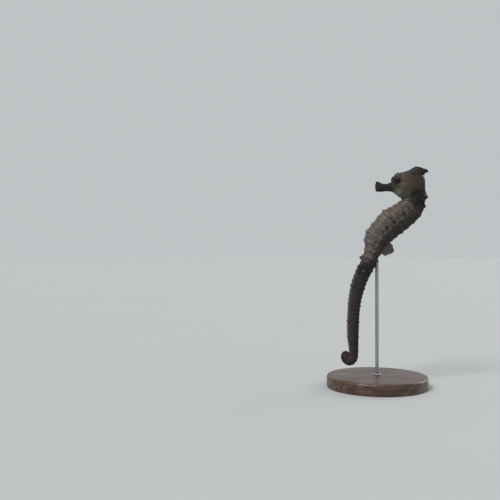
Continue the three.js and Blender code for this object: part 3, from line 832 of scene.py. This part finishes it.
def skin_material():
    made, tree, shader = material("skin", Coat_Weight=0.05, Coat_Roughness=0.35, Specular_IOR_Level=0.2)
    names = ("on_body", "tail", "back", "spot", "green", "dark", "pale", "stripe", "crown", "rust", "pale_cheek_and_painted_light",
             "olive", "orbit", "cleft_shade", "lid")
    marks = {name: mark(tree, name) for name in names}

    def part(name, share):
        return maths(tree, "MULTIPLY", marks[name], share)

    broad = speckle(tree, 3.2)
    patchy = speckle(tree, 1.1, 4)
    grain = speckle(tree, 0.34, 3, 0.6)
    trunk = maths(tree, "SUBTRACT", marks["on_body"], marks["tail"])
    light = flecked(tree, broad, 0.42, 0.58, "95807a", "8a8474")
    # the pale knobs fade where the painted shade of the back lies
    clear_of_painted_shade = maths(tree, "SUBTRACT", 1.0, part("back", 0.9))
    knobs = part("pale", maths(tree, "MULTIPLY", clear_of_painted_shade, 0.5))
    # The colours from the lowest to the uppermost, each with the share that it covers
    base = colour("38352f")
    for share, upper in (
        (marks["on_body"], flecked(tree, speckle(tree, 1.5, 4), 0.36, 0.62, "7c7169", "423c38")),
        (marks["olive"], colour("504934")),
        (marks["tail"], flecked(tree, patchy, 0.35, 0.65, "4a4345", "343032")),
        (0.25, flecked(tree, broad, 0.35, 0.65, "4e3333", "3d3d2c")),
        (remap(tree, trunk, 0, 1, 0.1, 0.3), flecked(tree, speckle(tree, 2.2), 0.4, 0.6, "5c3a24", "39424b")),
        # painted shade on the flank, darkest towards the back
        (part("back", 0.94), colour("0e0f10")),
        (marks["crown"], colour("272221")),
        (part("rust", 0.7), colour("5f3426")),
        (remap(tree, patchy, 0.4, 0.62, 0, 0.3), colour("1e1b1b")),
        (maths(tree, "MULTIPLY", knobs, remap(tree, marks["tail"], 0, 1, 1, 0.25)), light),
        (part("stripe", remap(tree, broad, 0.4, 0.6, 0.1, 0.5)), light),
        # a pale cheek, and painted light under the jaw
        (part("pale_cheek_and_painted_light", 0.7), colour("8b8e7e")),
        # dark marks, partly painted shade at the nape, gills, neck, throat and head's rear
        (part("dark", 0.85), colour("0d1215")),
        (part("orbit", 0.6), colour("12181b")),
        (maths(tree, "MULTIPLY", dots(tree, 0.6, 0.085, 0.0), remap(tree, patchy, 0.4, 0.6, 0.4, 0)),
         colour("92806f")),
        (maths(tree, "MULTIPLY", dots(tree, 1.7, 0.27, 0.05), remap(tree, trunk, 0, 1, 0.2, 0.75)),
         colour("191315")),
        (remap(tree, grain, 0.3, 0.7, 0.25, 0), colour("1c1716")),
        (marks["spot"], colour("060505")),
        (part("green", 0.65), colour("5f7a6c")),
        (part("lid", 0.45), colour("857470")),
        # painted shade in the mouth's cleft
        (marks["cleft_shade"], colour("040505")),
    ):
        base = blend(tree, share, base, upper)
    tree.links.new(base, shader.inputs["Base Color"])

    roughness = maths(tree, "ADD", remap(tree, patchy, 0.3, 0.7, 0.46, 0.6), part("dark", 0.2))
    tree.links.new(roughness, shader.inputs["Roughness"])
    cells = node(tree, "ShaderNodeTexVoronoi", {"Vector": place(tree), "Scale": 1 / (0.42 * MM)})
    height = maths(tree, "ADD", maths(tree, "MULTIPLY", cells, -0.7), grain)
    tree.links.new(node(tree, "ShaderNodeBump", {"Height": height, "Strength": 1.0, "Distance": 0.085 * MM}),
                   shader.inputs["Normal"])
    return made


# ---------- Eyes ----------

GAZE = {"forward": 36, "up": 3}  # degrees from straight out to the side


def make_eye(side):
    """An eyeball with a bulging front, whose marks say where its iris and pupil are."""
    rows, columns = 120, 128
    polar = (np.arange(rows) + 0.5)[:, None] / rows * math.pi
    turn = np.arange(columns)[None, :] / columns * 2 * math.pi
    radius = EYE["radius"] * (1 + 0.035 * bump(polar, 0.55)) + 0 * turn
    forward, up = (math.radians(GAZE[name]) for name in ("forward", "up"))
    look = np.array([math.cos(forward) * math.cos(up), -math.sin(forward) * math.cos(up), math.sin(up)])
    level = np.cross((0, 0, 1), look)
    level /= np.linalg.norm(level)
    upright = np.cross(look, level)
    round_look = np.cos(turn)[..., None] * level + np.sin(turn)[..., None] * upright
    rays = np.cos(polar)[..., None] * look + np.sin(polar)[..., None] * round_look
    centre = head_point(EYE["behind"], EYE["up"], EYE["left"])
    streak = np.array([[noise.noise((7 * math.cos(t), 7 * math.sin(t), 1.3 * p)) for t in turn[0]]
                       for p in polar[:, 0]])
    ball = loft(centre + rays * radius[..., None], polar=polar, streak=streak)
    if side < 0:
        ball = ball.mirrored()
    name = "eyeball_left" if side > 0 else "eyeball_right"
    eye = new_mesh(name, ball.points, ball.faces)
    paint_marks(eye.data, ball.marks)
    shade_smooth(eye)
    return eye


def eye_material():
    made, tree, shader = material("eye", Roughness=0.12, Coat_Weight=0.4, Coat_Roughness=0.03,
                                  Specular_IOR_Level=0.15)
    polar, streak = mark(tree, "polar"), mark(tree, "streak")
    streaked = maths(tree, "MULTIPLY_ADD", streak, 0.9)  # and the node's own third input, 0.5
    iris = flecked(tree, streaked, -0.35, 0.4, "4a3622", "1a1411")
    iris = blend(tree, remap(tree, polar, 0.95, 1.5), iris, colour("0b0a0a"))
    gold = flecked(tree, streaked, -0.3, 0.35, "8c6b3c", "443320")
    ringed = blend(tree, remap(tree, polar, 0.44, 0.56, 1, 0), iris, gold)
    base = blend(tree, remap(tree, polar, 0.42, 0.46), colour("020202"), ringed)
    tree.links.new(base, shader.inputs["Base Color"])
    return made


# ---------- Fins ----------

WEB_THICKNESS = 0.07
RAY_TAPER = 0.72  # how much thinner a ray's tip is than its foot, as a share

def thick_sheet(name, rows, thickness):
    """A thin closed sheet through an open grid of points in mm."""
    count, columns, _ = rows.shape
    sheet = new_mesh(name, rows.reshape(-1, 3), grid_faces(count, columns, closed=False))
    shell = sheet.modifiers.new("thickness", "SOLIDIFY")
    shell.thickness = thickness * MM
    shell.offset = 0
    applied(sheet)
    shade_smooth(sheet)
    return sheet


def rod_along(path, radii, sides=8):
    """A tapered closed tube along a path in mm."""
    path = np.asarray(path, float)
    along = np.gradient(path, axis=0)
    along /= np.linalg.norm(along, axis=1, keepdims=True)
    side = np.cross(along, along.mean(0)[[1, 2, 0]] + (0.3, 0.1, 0.2))
    side /= np.linalg.norm(side, axis=1, keepdims=True)
    other = np.cross(along, side)
    turn = np.arange(sides) / sides * 2 * math.pi
    ring = np.cos(turn)[None, :, None] * side[:, None] + np.sin(turn)[None, :, None] * other[:, None]
    return loft(path[:, None] + ring * np.asarray(radii)[:, None, None])


def make_fin(name, surface, rays, ray_radius):
    """A fin from surface(share along its foot, share of its height): clear skin between bony rays."""
    across, high = (rays - 1) * 8 + 1, 22
    t = np.linspace(0, 1, across)[:, None]
    h = np.linspace(0, 1, high)[None, :]
    between = np.sin(math.pi * (t * (rays - 1) % 1)) ** 2
    web = thick_sheet(f"{name}_web", surface(t + 0 * h, h * (1 - 0.03 * between)), WEB_THICKNESS)
    tubes = []
    for i in range(rays):
        share = i / (rays - 1)
        up = np.linspace(0, 1, 26)
        stem = surface(share + 0 * up, up)
        tubes.append(rod_along(stem, ray_radius * (1 - RAY_TAPER * up)))
    points, faces = joined(tubes)
    bones = new_mesh(f"{name}_rays", points, faces)
    shade_smooth(bones)
    return web, bones


def median_surface(fin, side, ripple):
    """The surface of a fin along the body's middle, on its back (side -1) or belly (side 1)."""
    reach = belly_reach if side > 0 else back_reach

    def surface(t, h):
        s = mix(fin["from"], fin["to"], t)
        rise = fin["height"] * ease(t, -0.25, 0.4) * (1 - 0.45 * ease(t, 0.5, 1.1)) * h
        foot = side * (reach(s) - 0.9 * (1 - h))
        wave = ripple * np.sin(t * 2 * math.pi * 3.2 + h) * h
        return body_point(s + 0.18 * rise, foot + side * rise, wave)
    return surface


def pectoral_surface(side):
    fin = PECTORAL_FIN
    root = head_point(fin["behind"], fin["up"], fin["left"])
    splay = math.radians(fin["splay"])

    def surface(t, h):
        turn = np.radians((t - 0.5) * fin["spread"])
        reach = mix(-0.2, fin["radius"], h)
        out = reach * np.cos(turn)
        wave = 0.16 * np.sin(t * 2 * math.pi * 3) * h
        left = out * math.sin(splay) + wave * math.cos(splay)
        back = out * math.cos(splay) - wave * math.sin(splay)
        up = reach * np.sin(turn) + 2 * (t - 0.5) * (1 - h)
        return (root + np.stack([left, back, up], axis=-1)) * (side, 1, 1)
    return surface


def fin_material(name, clearness, roughness, light, dark):
    made, tree, shader = material(name, Alpha=1 - clearness, Roughness=roughness, Specular_IOR_Level=0.3)
    tone = flecked(tree, speckle(tree, 0.9), 0.35, 0.65, light, dark)
    tree.links.new(tone, shader.inputs["Base Color"])
    return made


# ---------- The stand ----------

def lathe(name, profile, columns=144):
    """A turned piece about the Z axis through (height, radius) pairs in mm."""
    turned = loft(swept((0, 0, 0), (0, 0, 1), profile, columns))
    piece = new_mesh(name, turned.points, turned.faces)
    shade_smooth(piece)
    return piece


def rounded(height, radius, edge, steps=10):
    """(height, radius) pairs of a disc with rounded edges, from its underside up to its top."""
    turn = np.linspace(0, math.pi / 2, steps)
    low = [(edge * 0.4 * (1 - math.cos(a)), radius - edge * 0.4 * (1 - math.sin(a))) for a in turn]
    high = [(height - edge + edge * math.sin(a), radius - edge + edge * math.cos(a)) for a in turn]
    return [(0, 0.5 * radius)] + low + high + [(height, r) for r in np.linspace(radius - edge, 2, 12)[1:]]


def wood_material():
    made, tree, shader = material("walnut", Coat_Weight=0.35, Coat_Roughness=0.25)
    spot = node(tree, "ShaderNodeMapping", {"Vector": place(tree), "Scale": (1, 0.12, 1)})
    warp = node(tree, "ShaderNodeTexNoise", {"Vector": spot, "Scale": 90.0, "Detail": 3.0}, 1)
    bent = blend(tree, 0.012, spot, warp, "ADD")
    grain = node(tree, "ShaderNodeTexNoise", {"Vector": bent, "Scale": 520.0, "Detail": 5.0})
    lines = node(tree, "ShaderNodeTexWave", {"Vector": bent, "Scale": 95.0, "Distortion": 3.0,
                                             "Detail": 2.0}, 1)
    tone = flecked(tree, lines, 0.1, 0.9, "5a3a26", "3b2417")
    tone = blend(tree, remap(tree, grain, 0.42, 0.62, 0, 0.6), tone, colour("24150d"))
    tree.links.new(tone, shader.inputs["Base Color"])
    tree.links.new(remap(tree, grain, 0.3, 0.7, 0.38, 0.55), shader.inputs["Roughness"])
    tree.links.new(node(tree, "ShaderNodeBump", {"Height": grain, "Strength": 0.25, "Distance": 0.06 * MM}),
                   shader.inputs["Normal"])
    return made


def steel_material():
    made, tree, shader = material("steel", Metallic=1.0)
    stretched = node(tree, "ShaderNodeMapping", {"Vector": place(tree), "Scale": (1, 1, 0.03)})
    scratches = node(tree, "ShaderNodeTexNoise", {"Vector": stretched, "Scale": 6000.0, "Detail": 2.0})
    tone = blend(tree, scratches, colour("8f9396"), colour("b4b7b9"))
    tree.links.new(tone, shader.inputs["Base Color"])
    tree.links.new(remap(tree, scratches, 0.3, 0.7, 0.24, 0.4), shader.inputs["Roughness"])
    return made


# ---------- The pieces ----------

FLESH = ("head", "snout", "jaw", "coronet", "gill_cover", "neck", "trunk", "tail")  # starts of node names
ROD_SINKS = 1  # how far the rod goes into the base
ROD_RISES = 0.4  # how far it goes past the solid rod, into the body
COLLAR = {"sinks": 0.2, "foot": 1.9, "straight": 0.5, "edge": 0.3, "top": 1.6}  # the rod's, on the base


def dress(piece, paint):
    piece.data.materials.clear()
    piece.data.materials.append(paint)
    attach(piece, "root")


skin = make_skin()
dress(skin, skin_material())
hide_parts(*[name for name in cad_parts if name.startswith(FLESH)])

eye_paint = eye_material()
for side, node_name in ((1, "eye_left"), (-1, "eye_right")):
    eye = make_eye(side)
    dress(eye, eye_paint)
    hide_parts(node_name)

back_web = fin_material("fin_web", 0.28, 0.35, "483826", "35281b")
side_web = fin_material("clear_fin_web", 0.5, 0.6, "1f1a16", "161311")
back_rays = fin_material("fin_rays", 0.1, 0.42, "3f3022", "2a2018")
side_rays = fin_material("clear_fin_rays", 0.3, 0.6, "211b17", "171412")
for name, node_name, surface, fin, ray_radius, web_paint, ray_paint in (
    ("back_fin", "dorsal_fin", median_surface(DORSAL_FIN, -1, 0.2), DORSAL_FIN, 0.085, back_web, back_rays),
    ("vent_fin", "anal_fin", median_surface(ANAL_FIN, 1, 0.05), ANAL_FIN, 0.07, back_web, back_rays),
    ("left_fin", "pectoral_fin_left", pectoral_surface(1), PECTORAL_FIN, 0.075, side_web, side_rays),
    ("right_fin", "pectoral_fin_right", pectoral_surface(-1), PECTORAL_FIN, 0.075, side_web, side_rays),
):
    web, bones = make_fin(name, surface, fin["rays"], ray_radius)
    dress(web, web_paint)
    dress(bones, ray_paint)
    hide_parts(node_name)

base = lathe("turned_base", rounded(STAND["height"], STAND["radius"], STAND["chamfer"]))
dress(base, wood_material())
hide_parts("stand_base")
steel = steel_material()
rod_low, rod_high = (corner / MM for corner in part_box("stand_rod"))
half = (rod_high.x - rod_low.x) / 2
rod_heights = np.linspace(STAND["height"] - ROD_SINKS, rod_high.z + ROD_RISES, 40)
rod = lathe("drawn_rod", [(z, half) for z in rod_heights], 48)
dress(rod, steel)
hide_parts("stand_rod")
collar_edge = [(STAND["height"] + COLLAR["straight"] + COLLAR["edge"] * math.sin(turn),
                COLLAR["top"] + COLLAR["edge"] * math.cos(turn)) for turn in np.linspace(0, math.pi / 2, 8)]
collar = lathe("collar", [(STAND["height"] - COLLAR["sinks"], COLLAR["foot"])] + collar_edge, 64)
dress(collar, steel)

# ---------- The floor, the light and the camera ----------

SPREAD = 6000  # half the floor's width, in mm
floor = new_mesh("floor", [(-SPREAD, -SPREAD, 0), (SPREAD, -SPREAD, 0), (SPREAD, SPREAD, 0),
                           (-SPREAD, SPREAD, 0)], [(0, 1, 2, 3)])
floor.location.z = -0.02 * MM
paper, tree, shader = material("floor", Roughness=0.85)
tree.links.new(flecked(tree, speckle(tree, 60), 0.3, 0.7, "b2b4b4", "b3b5b4"), shader.inputs["Base Color"])
floor.data.materials.append(paper)

world = bpy.data.worlds.new("studio")
world.use_nodes = True
world.node_tree.nodes["Background"].inputs["Color"].default_value = colour("dfe4e6")
world.node_tree.nodes["Background"].inputs["Strength"].default_value = 0.7
bpy.context.scene.world = world


def far_light(name, towards, strength, spread):
    """A soft light from far off, shining the way that towards says, in degrees wide."""
    lamp = bpy.data.lights.new(name, "SUN")
    lamp.energy = strength
    lamp.angle = math.radians(spread)
    thing = bpy.data.objects.new(name, lamp)
    thing.rotation_euler = Vector(towards).to_track_quat("-Z", "Y").to_euler()
    bpy.context.scene.collection.objects.link(thing)


far_light("key", (-0.55, 0.5, -0.8), 2.2, 24)
far_light("back", (0.5, -0.75, -0.4), 0.9, 40)

SIGHT = {"y": -66.0, "z": 71.1, "away": 361}  # the camera's place: level, straight out from the left side
lens = bpy.data.cameras.new("camera")
lens.lens = 50
lens.sensor_width = 36
lens.clip_start = 0.005
camera = bpy.data.objects.new("camera", lens)
camera.location = (SIGHT["away"] * MM, SIGHT["y"] * MM, SIGHT["z"] * MM)
camera.rotation_euler = (math.radians(90), 0, math.radians(90))
bpy.context.scene.collection.objects.link(camera)
bpy.context.scene.camera = camera
bpy.context.scene.view_settings.view_transform = "Standard"
